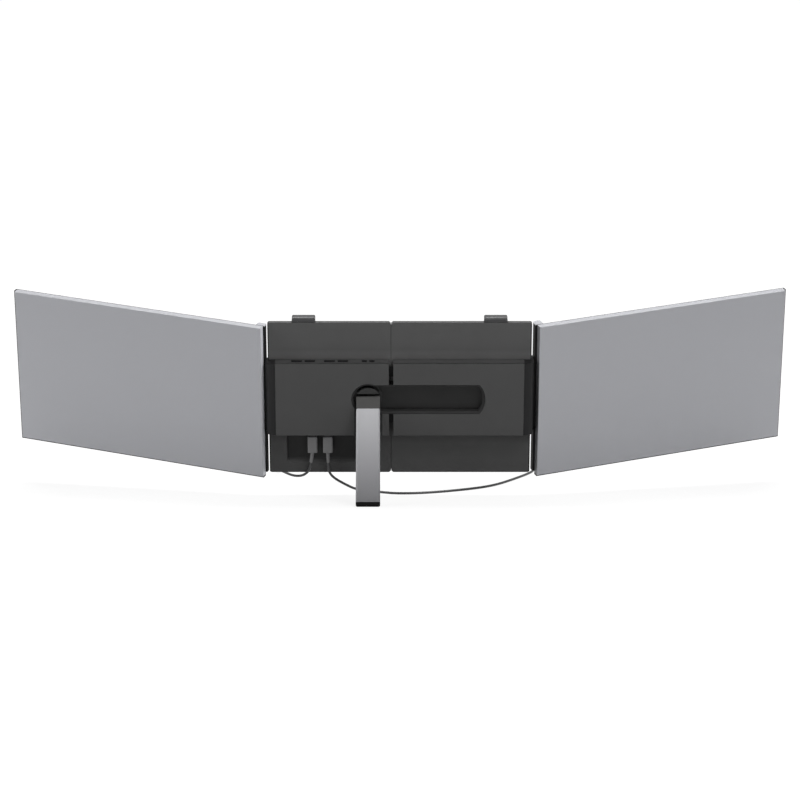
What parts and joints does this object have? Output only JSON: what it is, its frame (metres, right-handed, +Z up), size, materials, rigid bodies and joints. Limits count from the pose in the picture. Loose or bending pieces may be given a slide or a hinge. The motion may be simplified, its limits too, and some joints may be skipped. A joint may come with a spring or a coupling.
{
  "type": "laptop screen extender",
  "caption": "Clip-on laptop screen extender seen from behind: two hinged silver-backed displays, sliding dark centre plate, kickstand, top clips and data cables.",
  "frame": {"origin": "bottom centre of the plate's front face, where it meets a laptop lid", "axes": "+X to the right seen from behind, +Y forward towards the lid, +Z up; the plate leans back 16.5 degrees from +Z"},
  "size_m": [0.9222, 0.3062, 0.2416],
  "materials": {
    "plate_dark": "fine matt texture",
    "housing_dark": "fine matt texture",
    "cover_black": "matt",
    "silver_back": "anodised, fine blasted satin",
    "leg_silver": "anodised satin",
    "frame_black": "matt",
    "display": "display panel with a glossy face",
    "hinge_black": "satin black",
    "steel": "bright",
    "spring_steel": "bright",
    "foot_rubber": "matt rubber",
    "pad_rubber": "soft silicone",
    "clip_satin": "satin dark",
    "key_black": "matt",
    "circuit_board": "solder mask",
    "plug_plastic": "moulded matt",
    "cable_jacket": "satin jacket"
  },
  "bodies": {
    "left_half": {"left_plate": "plate_dark", "left_front_cover": "cover_black", "left_lid_pads": "pad_rubber", "left_housing": "housing_dark", "kickstand_tray": "cover_black", "hub_board": "circuit_board", "usb_c_ports": "steel", "key_board": "circuit_board", "port_bay": "cover_black", "slide_guides": "cover_black", "left_hinge_block": "hinge_black", "left_hinge_pin": "steel", "left_clip_spring": "spring_steel", "left_screws": "steel", "cable_1_hub_plug": "plug_plastic", "cable_1_hub_tip": "steel", "cable_1_cord": "cable_jacket", "cable_1_coil": "cable_jacket", "cable_1_end_plug": "plug_plastic", "cable_1_end_tip": "steel", "cable_2_hub_plug": "plug_plastic", "cable_2_hub_tip": "steel", "cable_2_cord": "cable_jacket", "cable_2_coil": "cable_jacket", "cable_2_end_plug": "plug_plastic", "cable_2_end_tip": "steel"},
    "right_half": {"right_plate": "plate_dark", "right_front_cover": "cover_black", "right_lid_pads": "pad_rubber", "right_housing": "housing_dark", "slide_rails": "hinge_black", "right_hinge_block": "hinge_black", "right_hinge_pin": "steel", "right_clip_spring": "spring_steel", "right_screws": "steel"},
    "left_screen": {"left_back_cover": "silver_back", "left_front_frame": "frame_black", "left_lcd_panel": "display", "left_driver_board": "circuit_board", "left_hinge_rails": "hinge_black", "left_friction_sleeves": "spring_steel"},
    "right_screen": {"right_back_cover": "silver_back", "right_front_frame": "frame_black", "right_lcd_panel": "display", "right_driver_board": "circuit_board", "right_hinge_rails": "hinge_black", "right_friction_sleeves": "spring_steel"},
    "swivel": {"turntable": "hinge_black"},
    "stand": {"knuckle": "clip_satin", "tilt_pin": "steel", "stand_leg": "leg_silver", "stand_foot": "foot_rubber"},
    "left_top_clip": {"left_clip": "clip_satin", "left_clip_pad": "pad_rubber"},
    "right_top_clip": {"right_clip": "clip_satin", "right_clip_pad": "pad_rubber"},
    "left_screen_key": {"left_screen_rocker": "key_black"},
    "right_screen_key": {"right_screen_rocker": "key_black"},
    "power_key": {"power_rocker": "key_black"}
  },
  "joints": [
    {"name": "body_extend", "type": "slide", "parent": "left_half", "child": "right_half", "axis": [1, 0, 0], "range_m": [0, 0.08]},
    {"name": "left_screen_swing", "type": "hinge", "parent": "left_half", "child": "left_screen", "pos_m": [-0.1615, -0.03041, 0.09633], "axis": [0, 0.284, -0.9588], "range_deg": [-20, 160]},
    {"name": "right_screen_swing", "type": "hinge", "parent": "right_half", "child": "right_screen", "pos_m": [0.1603, -0.02418, 0.09818], "axis": [0, -0.284, 0.9588], "range_deg": [-20, 160]},
    {"name": "kickstand_swivel", "type": "hinge", "parent": "left_half", "child": "swivel", "pos_m": [-0.037, -0.04189, 0.09335], "axis": [0, -0.9588, -0.284], "range_deg": [0, 90]},
    {"name": "kickstand_tilt", "type": "hinge", "parent": "swivel", "child": "stand", "pos_m": [-0.037, -0.04189, 0.09335], "axis": [1, 0, 0], "range_deg": [-8, 37]},
    {"name": "left_clip_pull", "type": "slide", "parent": "left_half", "child": "left_top_clip", "axis": [0, -0.284, 0.9588], "range_m": [0, 0.06], "stiffness_N_per_m": 60, "springref_m": -0.03},
    {"name": "right_clip_pull", "type": "slide", "parent": "right_half", "child": "right_top_clip", "axis": [0, -0.284, 0.9588], "range_m": [0, 0.06], "stiffness_N_per_m": 60, "springref_m": -0.03},
    {"name": "left_screen_key_tip", "type": "hinge", "parent": "left_half", "child": "left_screen_key", "pos_m": [-0.113, -0.05071, 0.13527], "axis": [0, 0.9588, 0.284], "range_deg": [-2.5, 2.5], "stiffness_Nm_per_rad": 0.3},
    {"name": "right_screen_key_tip", "type": "hinge", "parent": "left_half", "child": "right_screen_key", "pos_m": [-0.07445, -0.05071, 0.13527], "axis": [0, 0.9588, 0.284], "range_deg": [-2.5, 2.5], "stiffness_Nm_per_rad": 0.3},
    {"name": "power_key_tip", "type": "hinge", "parent": "left_half", "child": "power_key", "pos_m": [-0.0369, -0.05071, 0.13527], "axis": [0, 0.9588, 0.284], "range_deg": [-2.5, 2.5], "stiffness_Nm_per_rad": 0.3}
  ]
}
